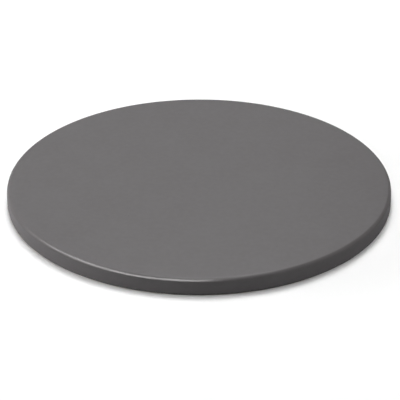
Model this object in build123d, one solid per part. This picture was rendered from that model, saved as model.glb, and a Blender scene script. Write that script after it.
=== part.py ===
from build123d import *
from math import radians, sqrt, tan
import os

# A round glazed pizza stone for an oven or a grill.
# The stone is one slab of pressed and biscuit-fired cordierite under a coat of fired glaze.
# The slab leaves the press with a plain bevel on both edges. The melted glaze levels out
# over them, thin on each arris and full between, so the finished edges are round.
# The glaze covers the baking face, the shoulder and the wall. It stops on the lower edge,
# because the face that stands on the kiln shelf in the glaze firing has to stay bare.
# Nothing moves and nothing is fastened: the glaze is fused to the slab all over.
#
# The origin is the centre of the underside, and +Z points up through the baking face.
# Lengths are millimetres and angles are degrees.

# Driving dimensions of the finished stone
STONE_DIAMETER = 360.0  # over the glaze, at the foot of the wall
STONE_THICKNESS = 16.0  # from the bare underside to the glazed baking face
WALL_DRAFT = 1.0  # angle by which the wall leans in towards the baking face, to leave the die

# The slab's pressed bevels, along each face
SHOULDER_BEVEL = 2.0  # between the wall and the baking face
FOOT_BEVEL = 1.7  # between the underside and the wall

# The glaze
GLAZE_THICKNESS = 0.4
ARRIS_GLAZE_SHARE = 0.7  # how much of that thickness stays on an arris, where a melt thins
GLAZE_LINE_HEIGHT = 0.8  # where the glaze stops, above whatever the stone stands on
GLAZE_LIP_RADIUS = 0.25  # how the melt rolls under at that line

# How far a cutting shape runs past what it cuts
OVERRUN = 5.0

# The slab is smaller than the finished stone by the glaze that is fired onto it.
slab_radius = STONE_DIAMETER / 2 - GLAZE_THICKNESS
slab_thickness = STONE_THICKNESS - GLAZE_THICKNESS


def sharp_section():
    """Half section of the slab before its bevels, from the axis to the wall, with height along Y."""
    lean = slab_thickness * tan(radians(WALL_DRAFT))
    top_radius = slab_radius - lean
    corners = [(0, 0), (slab_radius, 0), (top_radius, slab_thickness), (0, slab_thickness)]
    return make_face(Polyline(*corners, close=True))


def edge_corners(section):
    """The two corners of a sharp section at the wall: the foot's, then the shoulder's."""
    return section.vertices().sort_by(Axis.X)[-2:].sort_by(Axis.Y)


def slab_section(sharp):
    """Half section of the bare slab, with a bevel at the foot and at the shoulder."""
    foot, shoulder = edge_corners(sharp)
    return chamfer(foot, length=FOOT_BEVEL) & chamfer(shoulder, length=SHOULDER_BEVEL)


def levelled_radius(bevel):
    """Radius of the glaze over a bevel, from its thickness on the faces and on the arrises.

    The round runs tangent to the glaze on both faces. Its radius r is the one whose circle
    passes the arris, a bevel's length along the face, at the thickness that stays there:
    (r - full)^2 + (r - full - bevel)^2 = (r - thin)^2.
    """
    thinning = GLAZE_THICKNESS * (1 - ARRIS_GLAZE_SHARE)
    reach = bevel + thinning
    return GLAZE_THICKNESS + reach + sqrt(2 * thinning * reach)


def glaze_section(sharp, slab):
    """Half section of the glaze: a levelled skin round the slab, down to the glaze line."""
    foot, shoulder = edge_corners(offset(sharp, amount=GLAZE_THICKNESS, kind=Kind.INTERSECTION))
    round_foot = fillet(foot, radius=levelled_radius(FOOT_BEVEL))
    round_shoulder = fillet(shoulder, radius=levelled_radius(SHOULDER_BEVEL))
    glazed_zone = Pos(0, GLAZE_LINE_HEIGHT) * Rectangle(
        STONE_DIAMETER / 2 + OVERRUN, STONE_THICKNESS + OVERRUN, align=Align.MIN
    )
    skin = (round_foot & round_shoulder & glazed_zone) - slab
    lip_corner = skin.vertices().group_by(Axis.Y)[0].sort_by(Axis.X)[-1]
    return fillet(lip_corner, radius=GLAZE_LIP_RADIUS)


def turned(section):
    """The solid that a half section makes when it turns about the stone's axis."""
    return revolve(Plane.XZ * section, axis=Axis.Z)


sharp = sharp_section()
slab = slab_section(sharp)
pieces = {
    "cordierite_slab": turned(slab),
    "glaze_coat": turned(glaze_section(sharp, slab)),
}

os.makedirs("parts", exist_ok=True)
for name, piece in pieces.items():
    piece.label = name
    export_step(piece, f"parts/{name}.step")
    print(f"{name}: {piece.volume / 1000:.1f} cm3, valid {piece.is_valid}")
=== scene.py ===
from math import cos, hypot, pi, radians, sin, tan

import bmesh
import bpy
from mathutils import Matrix, Vector, noise


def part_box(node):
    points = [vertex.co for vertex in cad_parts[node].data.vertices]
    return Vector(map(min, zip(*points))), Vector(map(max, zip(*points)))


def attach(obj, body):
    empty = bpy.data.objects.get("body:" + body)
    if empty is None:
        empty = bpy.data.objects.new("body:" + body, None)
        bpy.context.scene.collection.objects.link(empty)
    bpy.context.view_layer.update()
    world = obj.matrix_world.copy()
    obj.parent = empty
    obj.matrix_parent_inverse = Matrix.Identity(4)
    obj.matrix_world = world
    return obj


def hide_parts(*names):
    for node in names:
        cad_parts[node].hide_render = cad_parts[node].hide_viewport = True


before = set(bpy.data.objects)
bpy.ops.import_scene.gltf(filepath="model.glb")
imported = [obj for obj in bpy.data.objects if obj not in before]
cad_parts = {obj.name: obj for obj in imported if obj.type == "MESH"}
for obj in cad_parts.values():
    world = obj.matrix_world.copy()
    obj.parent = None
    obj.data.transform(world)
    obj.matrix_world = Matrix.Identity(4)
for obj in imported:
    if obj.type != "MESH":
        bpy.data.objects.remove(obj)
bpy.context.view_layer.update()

# A round glazed pizza stone, lying on a plain white floor.
# It is one slab of pressed cordierite under a coat of satin grey glaze. The glaze covers the
# baking face, the round shoulder and the wall, and stops just above the floor. The bevel
# below that line and the underside are bare biscuit.
# Lengths are metres. Angles are radians, except the lamps' and the camera's, which are degrees.

MM = 0.001

# Sizes from the frame
slab_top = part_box("cordierite_slab")[1].z
stone_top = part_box("glaze_coat")[1].z
glaze_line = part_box("glaze_coat")[0].z
glaze_thickness = stone_top - slab_top

# Sizes that the frame's boxes don't hold
WALL_DRAFT = radians(1)
SHOULDER_BEVEL = 2.0 * MM
FOOT_BEVEL = 1.7 * MM
SHOULDER_RADIUS = 3.23 * MM  # of the glaze, levelled over the slab's shoulder bevel
FOOT_RADIUS = 2.88 * MM  # of the glaze, over the foot bevel
LIP_RADIUS = 0.25 * MM
ARRIS_RADIUS = 0.3 * MM  # how far handling has worn the bare arris that the stone stands on

# The slab's sharp corners, where its drafted wall would meet its two faces
slab_foot_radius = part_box("cordierite_slab")[1].x + FOOT_BEVEL * sin(WALL_DRAFT)
slab_top_radius = slab_foot_radius - slab_top * tan(WALL_DRAFT)
arris_radius = slab_foot_radius - FOOT_BEVEL

# How finely the turned surfaces are divided
STEPS = 384  # round the axis
SHOULDER_STEPS = 16
FOOT_STEPS = 10
LIP_STEPS = 4
ARRIS_STEPS = 3
FACE_RINGS = 22  # over a flat face, from the axis to its edge
WALL_RINGS = 6
SUPPORT = 0.4 * MM  # from a round to the first ring on the flat beside it, so the flat shades flat
SHARP = radians(30)  # edges that turn further than this shade sharp

# How far the fired glaze is from a true turned surface
RIPPLE_DEPTH = 0.03 * MM
RIPPLE_LENGTH = 38 * MM
LINE_WANDER = 0.16 * MM
LINE_WANDER_LENGTH = 24 * MM

SAME_POINT = 0.001 * MM  # points nearer than this are one point
ON_RING = 0.01 * MM
BRIDGE_DROP = 1 * MM  # how far two rims at one height are moved apart while they are bridged


# Turned shapes


def turned(corners):
    """The surface that a row of (radius, height) corners makes when it turns about Z."""
    bm = bmesh.new()
    verts = [bm.verts.new((radius, 0, height)) for radius, height in corners]
    edges = [bm.edges.new(pair) for pair in zip(verts, verts[1:])]
    bmesh.ops.spin(
        bm, geom=verts + edges, cent=(0, 0, 0), axis=(0, 0, 1), angle=2 * pi, steps=STEPS, use_merge=True
    )
    bmesh.ops.remove_doubles(bm, verts=bm.verts, dist=SAME_POINT)
    bmesh.ops.recalc_face_normals(bm, faces=bm.faces)
    return bm


def ring(bm, radius, height):
    """The edges of the circle at that radius and height."""

    def on_circle(vert):
        return abs(hypot(vert.co.x, vert.co.y) - radius) < ON_RING and abs(vert.co.z - height) < ON_RING

    return [edge for edge in bm.edges if all(on_circle(vert) for vert in edge.verts)]


def bevel(bm, edges, width, segments):
    """Cuts the edges back by width along both faces: flat with one segment, round with more."""
    return bmesh.ops.bevel(
        bm,
        geom=edges,
        offset=width,
        offset_type="OFFSET",
        affect="EDGES",
        segments=segments,
        profile=0.5,
        material=-1,
    )


def cut_level(bm, height, clear_below=False):
    """Divides the surface at that height, and can clear away what is below."""
    bmesh.ops.bisect_plane(
        bm,
        geom=bm.verts[:] + bm.edges[:] + bm.faces[:],
        plane_co=(0, 0, height),
        plane_no=(0, 0, 1),
        clear_inner=clear_below,
    )


def flat_face(radius, height):
    """Corners from the axis out towards that radius, evenly spaced."""
    return [(radius * step / FACE_RINGS, height) for step in range(FACE_RINGS)]


def add_piece(name, bm, material, node):
    """Makes the shape a piece that stands for a CAD node."""
    mesh = bpy.data.meshes.new(name)
    for face in bm.faces:
        face.smooth = True
    bm.to_mesh(mesh)
    bm.free()
    mesh.set_sharp_from_angle(angle=SHARP)
    mesh.materials.append(material)
    piece = bpy.data.objects.new(name, mesh)
    bpy.context.scene.collection.objects.link(piece)
    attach(piece, "root")
    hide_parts(node)


# The two pieces


def make_slab(material):
    """The bare slab, with its two pressed bevels and a worn arris underneath."""
    bm = turned(
        flat_face(slab_foot_radius - 2 * FOOT_BEVEL, 0)
        + [
            (arris_radius - 2 * SUPPORT, 0),
            (slab_foot_radius, 0),
            (slab_top_radius, slab_top),
            (0, slab_top),
        ]
    )
    bevel(bm, ring(bm, slab_top_radius, slab_top), SHOULDER_BEVEL, 1)
    bevel(bm, ring(bm, slab_foot_radius, 0), FOOT_BEVEL, 1)
    bevel(bm, ring(bm, arris_radius, 0), ARRIS_RADIUS, ARRIS_STEPS)
    bmesh.ops.recalc_face_normals(bm, faces=bm.faces)
    add_piece("slab", bm, material, "cordierite_slab")


def glaze_outside():
    """The glaze's outer surface, down to the glaze line."""
    # The slab's sharp outline, grown by the glaze's thickness on both faces and the wall
    spread = glaze_thickness * (1 + sin(WALL_DRAFT))
    level = -glaze_thickness
    foot_radius = slab_foot_radius + spread
    top_radius = foot_radius - (stone_top - level) * tan(WALL_DRAFT)
    shoulder_width = SHOULDER_RADIUS * tan((pi / 2 - WALL_DRAFT) / 2)
    foot_width = FOOT_RADIUS * tan((pi / 2 + WALL_DRAFT) / 2)
    flat_radius = top_radius - shoulder_width

    bm = turned(
        flat_face(flat_radius - SUPPORT, stone_top)
        + [
            (flat_radius - SUPPORT, stone_top),
            (top_radius, stone_top),
            (foot_radius, level),
            (foot_radius - 2 * foot_width, level),
        ]
    )
    bevel(bm, ring(bm, top_radius, stone_top), shoulder_width, SHOULDER_STEPS)
    bevel(bm, ring(bm, foot_radius, level), foot_width, FOOT_STEPS)
    cut_level(bm, glaze_line, clear_below=True)

    wall_low = level + foot_width + SUPPORT
    wall_high = stone_top - shoulder_width - SUPPORT
    for step in range(WALL_RINGS + 1):
        cut_level(bm, wall_low + (wall_high - wall_low) * step / WALL_RINGS)
    return bm


def glaze_inside():
    """The slab's own surface above the glaze line, which the glaze is fused to."""
    bm = turned(
        [
            (0, slab_top),
            (slab_top_radius, slab_top),
            (slab_foot_radius, 0),
            (slab_foot_radius - 2 * FOOT_BEVEL, 0),
        ]
    )
    bevel(bm, ring(bm, slab_top_radius, slab_top), SHOULDER_BEVEL, 1)
    bevel(bm, ring(bm, slab_foot_radius, 0), FOOT_BEVEL, 1)
    cut_level(bm, glaze_line, clear_below=True)
    return bm


def settle(bm, skin):
    """The melt's slow ripple over its skin, and the wander of the line where it stopped."""
    bm.normal_update()
    for vert in skin:
        place = vert.co.copy()
        vert.co += vert.normal * RIPPLE_DEPTH * noise.noise(place / RIPPLE_LENGTH)
        above_line = (place.z - glaze_line) / (FOOT_RADIUS - glaze_line)
        if above_line < 1:
            vert.co.z += (1 - above_line) * LINE_WANDER * noise.noise(place / LINE_WANDER_LENGTH)


def make_glaze(material):
    """The fired glaze: a closed skin on the slab, rolled under at the glaze line."""
    bm = glaze_outside()
    skin = bm.verts[:]
    rim = [edge for edge in bm.edges if edge.is_boundary]
    inside = bpy.data.meshes.new("inside")
    inner = glaze_inside()
    inner.to_mesh(inside)
    inner.free()
    bm.from_mesh(inside)
    bpy.data.meshes.remove(inside)

    # Rims at one height bridge crosswise, so the inner surface hangs lower until they are joined
    inner_verts = bm.verts[len(skin) :]
    bmesh.ops.translate(bm, verts=inner_verts, vec=(0, 0, -BRIDGE_DROP))
    bmesh.ops.bridge_loops(bm, edges=[edge for edge in bm.edges if edge.is_boundary])
    bmesh.ops.translate(bm, verts=inner_verts, vec=(0, 0, BRIDGE_DROP))

    lip = bevel(bm, rim, LIP_RADIUS, LIP_STEPS)
    bmesh.ops.recalc_face_normals(bm, faces=bm.faces)
    settle(bm, [vert for vert in skin if vert.is_valid] + lip["verts"])
    add_piece("glaze", bm, material, "glaze_coat")


# Materials


def linear(hex_colour):
    """The linear colour of an sRGB hex value such as "#8A8A88"."""
    channels = [int(hex_colour[i : i + 2], 16) / 255 for i in (1, 3, 5)]
    return [c / 12.92 if c <= 0.04045 else ((c + 0.055) / 1.055) ** 2.4 for c in channels] + [1]


def add(tree, kind, inputs=None, **settings):
    """Adds a node with its settings. Each input is a value, or another node's output to link."""
    node = tree.nodes.new(kind)
    for name, value in settings.items():
        setattr(node, name, value)
    for name, value in (inputs or {}).items():
        if isinstance(value, bpy.types.NodeSocket):
            tree.links.new(value, node.inputs[name])
        else:
            node.inputs[name].default_value = value
    return node


def new_material(name):
    """An empty material, and its node tree."""
    material = bpy.data.materials.new(name)
    material.use_nodes = True
    material.node_tree.nodes.clear()
    return material, material.node_tree


# The sockets of a colour Mix node
FACTOR, COLOUR_A, COLOUR_B, COLOUR_OUT = 0, 6, 7, 2

# Where a dot starts to show and where it is full, in shares of its radius
DOT_RIM, DOT_CORE = 1.2, 0.6


def speckle(tree, place, spacing, radius, share):
    """1 in round dots of that radius, one in each cell of that spacing, in only a share of the cells."""
    cells = add(tree, "ShaderNodeTexVoronoi", {"Vector": place, "Scale": 1 / spacing})
    dots = add(
        tree,
        "ShaderNodeMapRange",
        {
            "Value": cells.outputs["Distance"],
            "From Min": DOT_RIM * radius / spacing,
            "From Max": DOT_CORE * radius / spacing,
        },
    ).outputs["Result"]
    draw = add(tree, "ShaderNodeSeparateColor", {"Color": cells.outputs["Color"]}).outputs["Red"]
    chosen = add(tree, "ShaderNodeMath", {0: draw, 1: share}, operation="LESS_THAN").outputs[0]
    return add(tree, "ShaderNodeMath", {0: dots, 1: chosen}, operation="MULTIPLY").outputs[0]


SPRAY_CLOUDS = 30 * MM
MOTTLE = 5 * MM
ORANGE_PEEL = 2.2 * MM
ORANGE_PEEL_DEPTH = 0.01 * MM
# Spacing, radius and share of the cells. Real pinholes are 0.2 mm across, and these are 0.7 mm, so
# that some of them show.
PINHOLES = (11 * MM, 0.35 * MM, 0.4)
PINHOLE_DEPTH = 0.06 * MM
# The height of the shoulder's normal where the painted shade on it starts, is full, fades and ends
SHOULDER_SHADE_START, SHOULDER_SHADE_FULL, SHOULDER_SHADE_FADES, SHOULDER_SHADE_ENDS = (cos(radians(tilt)) for tilt in (6, 18, 72, 84))
SHOULDER_SHADE_SHARE = 0.35


def satin_glaze():
    """Satin stoneware glaze, sprayed on and fired in an electric kiln to a half-matt grey skin.

    To the eye it is smooth and even, with a soft sheen. From near it has the faint clouds of the
    spray, an orange peel, a few pinholes that stay open, with painted shade in them, and a darker
    brink of painted shade over the shoulder, where the melt also drew thin.
    """
    material, tree = new_material("satin_grey_glaze")
    coordinates = add(tree, "ShaderNodeTexCoord").outputs
    place = coordinates["Object"]

    clouds = add(tree, "ShaderNodeTexNoise", {"Vector": place, "Scale": 1 / SPRAY_CLOUDS, "Detail": 3.0})
    colour = add(
        tree,
        "ShaderNodeMix",
        {FACTOR: clouds.outputs["Fac"], COLOUR_A: linear("#585556"), COLOUR_B: linear("#5C5A5B")},
        data_type="RGBA",
    ).outputs[COLOUR_OUT]
    patches = add(tree, "ShaderNodeTexNoise", {"Vector": place, "Scale": 1 / MOTTLE})
    mottle = add(
        tree,
        "ShaderNodeMapRange",
        {"Value": patches.outputs["Fac"], "From Min": 0.35, "From Max": 0.75, "To Max": 0.25},
    ).outputs["Result"]
    colour = add(
        tree,
        "ShaderNodeMix",
        {FACTOR: mottle, COLOUR_A: colour, COLOUR_B: linear("#626061")},
        data_type="RGBA",
    ).outputs[COLOUR_OUT]

    # Painted shade, which also stands for the melt drawn thin: the shoulder is darker between the face and
    # the wall
    # The faces are level and the wall is upright, so only the shoulder's normal is in between
    upward = add(tree, "ShaderNodeSeparateXYZ", {"Vector": coordinates["Normal"]}).outputs["Z"]
    off_face = add(
        tree,
        "ShaderNodeMapRange",
        {"Value": upward, "From Min": SHOULDER_SHADE_START, "From Max": SHOULDER_SHADE_FULL, "To Max": SHOULDER_SHADE_SHARE},
    ).outputs["Result"]
    off_wall = add(
        tree, "ShaderNodeMapRange", {"Value": upward, "From Min": SHOULDER_SHADE_ENDS, "From Max": SHOULDER_SHADE_FADES}
    ).outputs["Result"]
    shoulder_shade = add(tree, "ShaderNodeMath", {0: off_face, 1: off_wall}, operation="MULTIPLY").outputs[0]
    colour = add(
        tree,
        "ShaderNodeMix",
        {FACTOR: shoulder_shade, COLOUR_A: colour, COLOUR_B: linear("#4D4949")},
        data_type="RGBA",
    ).outputs[COLOUR_OUT]

    # The pinholes are real dents; their darker colour is painted shade in them
    pinholes = speckle(tree, place, *PINHOLES)
    colour = add(
        tree,
        "ShaderNodeMix",
        {FACTOR: pinholes, COLOUR_A: colour, COLOUR_B: linear("#423F40")},
        data_type="RGBA",
    ).outputs[COLOUR_OUT]

    peel = add(tree, "ShaderNodeTexNoise", {"Vector": place, "Scale": 1 / ORANGE_PEEL})
    relief = add(tree, "ShaderNodeBump", {"Height": peel.outputs["Fac"], "Distance": ORANGE_PEEL_DEPTH})
    skin = add(tree, "ShaderNodeMath", {0: 1.0, 1: pinholes}, operation="SUBTRACT").outputs[0]
    relief = add(
        tree,
        "ShaderNodeBump",
        {"Height": skin, "Distance": PINHOLE_DEPTH, "Normal": relief.outputs["Normal"]},
    )
    shader = add(
        tree,
        "ShaderNodeBsdfPrincipled",
        {
            "Base Color": colour,
            "Roughness": 0.85,
            "IOR": 1.45,
            "Specular IOR Level": 0.05,
            "Coat Weight": 0.1,
            "Coat Roughness": 0.24,
            "Coat IOR": 1.6,
            "Normal": relief.outputs["Normal"],
        },
    )
    add(tree, "ShaderNodeOutputMaterial", {"Surface": shader.outputs["BSDF"]})
    return material


FIRING_CLOUDS = 34 * MM
CLAY_MOTTLE = 4 * MM
RUBBED_WIDTH = 14 * MM  # of the underside, beside its arris, where shelves and racks rub it
FLASH_LOW = 0.3  # where the flash below the glaze line starts, as a share of the line's height
# Spacing, radius and share of the cells
BROWN_GROG = (3.1 * MM, 0.5 * MM, 0.45)
WHITE_GROG = (2.3 * MM, 0.45 * MM, 0.4)
PORES = (4.3 * MM, 0.4 * MM, 0.6)
PORE_DEPTH = 0.3 * MM
GRIT = 0.9 * MM
GRIT_DEPTH = 0.12 * MM


def biscuit():
    """Cordierite biscuit: grit and clay, pressed dry and fired once.

    To the eye it is a dry pale buff in faint clouds, peppered with brown and white grog and open
    pores, which are darkened with painted shade. It is rubbed paler round the arris that it stands on,
    and flashed a shade darker where it meets the glaze.
    """
    material, tree = new_material("bare_cordierite_biscuit")
    place = add(tree, "ShaderNodeTexCoord").outputs["Object"]
    height = add(tree, "ShaderNodeSeparateXYZ", {"Vector": place}).outputs["Z"]
    level = add(tree, "ShaderNodeVectorMath", {0: place, 1: (1, 1, 0)}, operation="MULTIPLY")
    radius = add(tree, "ShaderNodeVectorMath", {0: level.outputs["Vector"]}, operation="LENGTH")

    clouds = add(tree, "ShaderNodeTexNoise", {"Vector": place, "Scale": 1 / FIRING_CLOUDS, "Detail": 4.0})
    colour = add(
        tree,
        "ShaderNodeMix",
        {FACTOR: clouds.outputs["Fac"], COLOUR_A: linear("#C6B595"), COLOUR_B: linear("#D8C9AC")},
        data_type="RGBA",
    ).outputs[COLOUR_OUT]
    patches = add(tree, "ShaderNodeTexNoise", {"Vector": place, "Scale": 1 / CLAY_MOTTLE})
    mottle = add(
        tree,
        "ShaderNodeMapRange",
        {"Value": patches.outputs["Fac"], "From Min": 0.4, "From Max": 0.7, "To Max": 0.5},
    ).outputs["Result"]
    rubbed = add(
        tree,
        "ShaderNodeMapRange",
        {
            "Value": radius.outputs["Value"],
            "From Min": arris_radius - RUBBED_WIDTH,
            "From Max": arris_radius,
            "To Max": 0.55,
        },
    ).outputs["Result"]
    flashed = add(
        tree,
        "ShaderNodeMapRange",
        {"Value": height, "From Min": FLASH_LOW * glaze_line, "From Max": glaze_line, "To Max": 0.7},
    ).outputs["Result"]
    # The pores are real dents; their darker colour is painted shade in them
    pores = speckle(tree, place, *PORES)
    for share, tint in (
        (mottle, "#BFAE8F"),
        (rubbed, "#E2D6BE"),
        (flashed, "#94866F"),
        (speckle(tree, place, *BROWN_GROG), "#9C7F5A"),
        (speckle(tree, place, *WHITE_GROG), "#EEE6D6"),
        (pores, "#7E6C52"),
    ):
        colour = add(
            tree,
            "ShaderNodeMix",
            {FACTOR: share, COLOUR_A: colour, COLOUR_B: linear(tint)},
            data_type="RGBA",
        ).outputs[COLOUR_OUT]

    grit = add(tree, "ShaderNodeTexNoise", {"Vector": place, "Scale": 1 / GRIT, "Detail": 4.0})
    relief = add(tree, "ShaderNodeBump", {"Height": grit.outputs["Fac"], "Distance": GRIT_DEPTH})
    closed = add(tree, "ShaderNodeMath", {0: 1.0, 1: pores}, operation="SUBTRACT").outputs[0]
    relief = add(
        tree,
        "ShaderNodeBump",
        {"Height": closed, "Distance": PORE_DEPTH, "Normal": relief.outputs["Normal"]},
    )
    shader = add(
        tree,
        "ShaderNodeBsdfPrincipled",
        {"Base Color": colour, "Roughness": 0.92, "IOR": 1.5, "Normal": relief.outputs["Normal"]},
    )
    add(tree, "ShaderNodeOutputMaterial", {"Surface": shader.outputs["BSDF"]})
    return material


make_slab(biscuit())
make_glaze(satin_glaze())


# The floor


def seen_directly(tree):
    """1 for what the camera sees, straight or by a reflection, and 0 for light on its way to a surface."""
    path = add(tree, "ShaderNodeLightPath").outputs
    seen = path["Is Camera Ray"]
    for other in ("Is Glossy Ray", "Is Transmission Ray"):
        seen = add(tree, "ShaderNodeMath", {0: seen, 1: path[other]}, operation="MAXIMUM").outputs[0]
    return seen


FLOOR_SIZE = 12.0
FLOOR_DROP = 0.02 * MM  # so that the floor and the underside aren't one plane
SHADOW_REACH = 0.45  # the floor takes the stone's shadow within this radius
PLAIN_FROM = 0.75  # and is plain white outside this one
OPENING = arris_radius - 2 * ARRIS_RADIUS  # all of it is under the stone


def white_floor():
    """White paper: it takes the stone's shadow nearby and is plain white further out.

    It is clear from below and open under the stone, so that the underside is lit and can be looked at.
    """
    material, tree = new_material("white_paper")
    place = add(tree, "ShaderNodeTexCoord").outputs["Object"]
    distance = add(tree, "ShaderNodeVectorMath", {0: place}, operation="LENGTH").outputs["Value"]
    far = add(
        tree, "ShaderNodeMapRange", {"Value": distance, "From Min": SHADOW_REACH, "From Max": PLAIN_FROM}
    ).outputs["Result"]
    paper = add(tree, "ShaderNodeBsdfDiffuse", {"Color": linear("#FFFFFF")}).outputs["BSDF"]
    plain = add(tree, "ShaderNodeEmission", {"Color": linear("#FFFFFF"), "Strength": 1.0})
    look = add(
        tree, "ShaderNodeMixShader", {0: far, 1: paper, 2: plain.outputs["Emission"]}
    ).outputs["Shader"]
    bounce = add(tree, "ShaderNodeBsdfDiffuse", {"Color": linear("#B0B0B0")}).outputs["BSDF"]
    both = add(tree, "ShaderNodeMixShader", {0: seen_directly(tree), 1: bounce, 2: look}).outputs["Shader"]

    under = add(tree, "ShaderNodeMath", {0: distance, 1: OPENING}, operation="LESS_THAN").outputs[0]
    below = add(tree, "ShaderNodeNewGeometry").outputs["Backfacing"]
    open_here = add(tree, "ShaderNodeMath", {0: under, 1: below}, operation="MAXIMUM").outputs[0]
    clear = add(tree, "ShaderNodeBsdfTransparent", {"Color": linear("#FFFFFF")}).outputs["BSDF"]
    surface = add(tree, "ShaderNodeMixShader", {0: open_here, 1: both, 2: clear}).outputs["Shader"]
    add(tree, "ShaderNodeOutputMaterial", {"Surface": surface})
    return material


def make_floor():
    """One level sheet, just under the stone."""
    bm = bmesh.new()
    bmesh.ops.create_grid(bm, x_segments=1, y_segments=1, size=FLOOR_SIZE / 2)
    bmesh.ops.translate(bm, verts=bm.verts, vec=(0, 0, -FLOOR_DROP))
    mesh = bpy.data.meshes.new("floor")
    bm.to_mesh(mesh)
    bm.free()
    mesh.materials.append(white_floor())
    floor = bpy.data.objects.new("floor", mesh)
    bpy.context.scene.collection.objects.link(floor)


make_floor()


# Light

BACKDROP_LOW, BACKDROP_HIGH = sin(radians(9)), sin(radians(16))  # the white backdrop ends between them
SOFTBOX_HEIGHT = 1.5
PANEL_DISTANCE = 2.2


def make_world(fill, fill_from_below):
    """A dim even room, with a white backdrop round the horizon for whatever looks at it."""
    world = bpy.data.worlds.new("studio")
    bpy.context.scene.world = world
    world.use_nodes = True
    tree = world.node_tree
    tree.nodes.clear()
    direction = add(tree, "ShaderNodeTexCoord").outputs["Generated"]
    height = add(tree, "ShaderNodeSeparateXYZ", {"Vector": direction}).outputs["Z"]
    backdrop = add(
        tree, "ShaderNodeMapRange", {"Value": height, "From Min": BACKDROP_HIGH, "From Max": BACKDROP_LOW}
    ).outputs["Result"]
    looked_at = add(tree, "ShaderNodeMath", {0: backdrop, 1: seen_directly(tree)}, operation="MULTIPLY")
    camera_ray = add(tree, "ShaderNodeLightPath").outputs["Is Camera Ray"]
    shown = add(
        tree, "ShaderNodeMath", {0: looked_at.outputs[0], 1: camera_ray}, operation="MAXIMUM"
    ).outputs[0]
    upper = add(tree, "ShaderNodeMath", {0: height, 1: 0.0}, operation="GREATER_THAN").outputs[0]
    room = add(
        tree, "ShaderNodeMapRange", {"Value": upper, "To Min": fill_from_below, "To Max": fill}
    ).outputs["Result"]
    strength = add(
        tree, "ShaderNodeMapRange", {"Value": shown, "To Min": room, "To Max": 1.0}
    ).outputs["Result"]
    background = add(tree, "ShaderNodeBackground", {"Color": linear("#FFFFFF"), "Strength": strength})
    add(tree, "ShaderNodeOutputWorld", {"Surface": background.outputs["Background"]})


def facing(place, aim):
    """The turn of a lamp or a camera at place that looks at aim, with its top up."""
    return (Vector(aim) - Vector(place)).to_track_quat("-Z", "Y")


def add_lamp(name, lamp, place, turn):
    """Hangs a lamp, which the camera itself never sees."""
    hung = bpy.data.objects.new(name, lamp)
    bpy.context.scene.collection.objects.link(hung)
    hung.location = place
    hung.rotation_mode = "QUATERNION"
    hung.rotation_quaternion = turn
    hung.visible_camera = False
    return hung


def panel(name, azimuth, elevation, width, watts):
    """A round soft panel that faces the stone, and is left out of reflections.

    Its azimuth is 0 in front of the stone and 90 degrees on the right. Elevation is up from the floor.
    """
    lamp = bpy.data.lights.new(name, "AREA")
    lamp.shape = "DISK"
    lamp.size = width
    lamp.energy = watts
    across, up = radians(azimuth), radians(elevation)
    place = PANEL_DISTANCE * Vector((sin(across) * cos(up), -cos(across) * cos(up), sin(up)))
    add_lamp(name, lamp, place, facing(place, (0, 0, 0))).visible_glossy = False


def softbox(name, near_left, far_right, brightness):
    """A level softbox over the stone, from one corner to the other, which only shows in reflections.

    Its brightness is 1 where it looks like white paper.
    """
    lamp = bpy.data.lights.new(name, "AREA")
    lamp.shape = "RECTANGLE"
    lamp.size, lamp.size_y = far_right[0] - near_left[0], far_right[1] - near_left[1]
    lamp.energy = brightness * pi * lamp.size * lamp.size_y
    place = ((near_left[0] + far_right[0]) / 2, (near_left[1] + far_right[1]) / 2, SOFTBOX_HEIGHT)
    add_lamp(name, lamp, place, Matrix.Identity(3).to_quaternion()).visible_diffuse = False


make_world(fill=0.09, fill_from_below=0.8)
panel("overhead", azimuth=180, elevation=70, width=1.2, watts=37.8)
panel("front", azimuth=0, elevation=45, width=1.0, watts=6.0)
panel("left", azimuth=-80, elevation=8, width=0.5, watts=23.5)
panel("left_back", azimuth=-105, elevation=8, width=0.5, watts=26.0)
panel("right", azimuth=75, elevation=45, width=1.0, watts=6.0)
panel("right_low", azimuth=80, elevation=8, width=0.5, watts=6.9)
softbox("left_softbox", near_left=(-1.8, -0.5), far_right=(-0.68, 0.9), brightness=37.0)
softbox("left_far_softbox", near_left=(-3.4, -0.8), far_right=(-1.8, 0.9), brightness=8.0)
softbox("front_softbox", near_left=(-2.2, -3.4), far_right=(0.16, -0.65), brightness=47.0)
softbox("ceiling_softbox", near_left=(-0.1, -0.5), far_right=(0.5, 0.9), brightness=6.0)
softbox("high_softbox", near_left=(-0.3, 0.9), far_right=(0.3, 1.6), brightness=22.0)
softbox("back_softbox", near_left=(-2.2, 1.6), far_right=(0.5, 3.8), brightness=1.95)


# Camera, fitted to the stone's outline in the photograph

CAMERA_LENS = 150.0
CAMERA_FILM_WIDTH = 36.0
CAMERA_DISTANCE = 1.5764
CAMERA_ELEVATION_DEGREES = 28.70
CAMERA_ROLL_DEGREES = 0.083
CAMERA_AIM = Vector((0.00084, 0, -0.00535))


def make_camera():
    """A long lens, high in front of the stone."""
    data = bpy.data.cameras.new("camera")
    data.lens = CAMERA_LENS
    data.sensor_width = CAMERA_FILM_WIDTH
    camera = bpy.data.objects.new("camera", data)
    bpy.context.scene.collection.objects.link(camera)
    back = Matrix.Rotation(radians(-CAMERA_ELEVATION_DEGREES), 3, "X") @ Vector((0, -1, 0))
    turn = facing(back, (0, 0, 0)).to_matrix().to_4x4()
    roll = Matrix.Rotation(radians(-CAMERA_ROLL_DEGREES), 4, "Z")
    camera.matrix_world = Matrix.Translation(CAMERA_AIM + back * CAMERA_DISTANCE) @ turn @ roll
    bpy.context.scene.camera = camera


make_camera()
bpy.context.scene.view_settings.view_transform = "Standard"
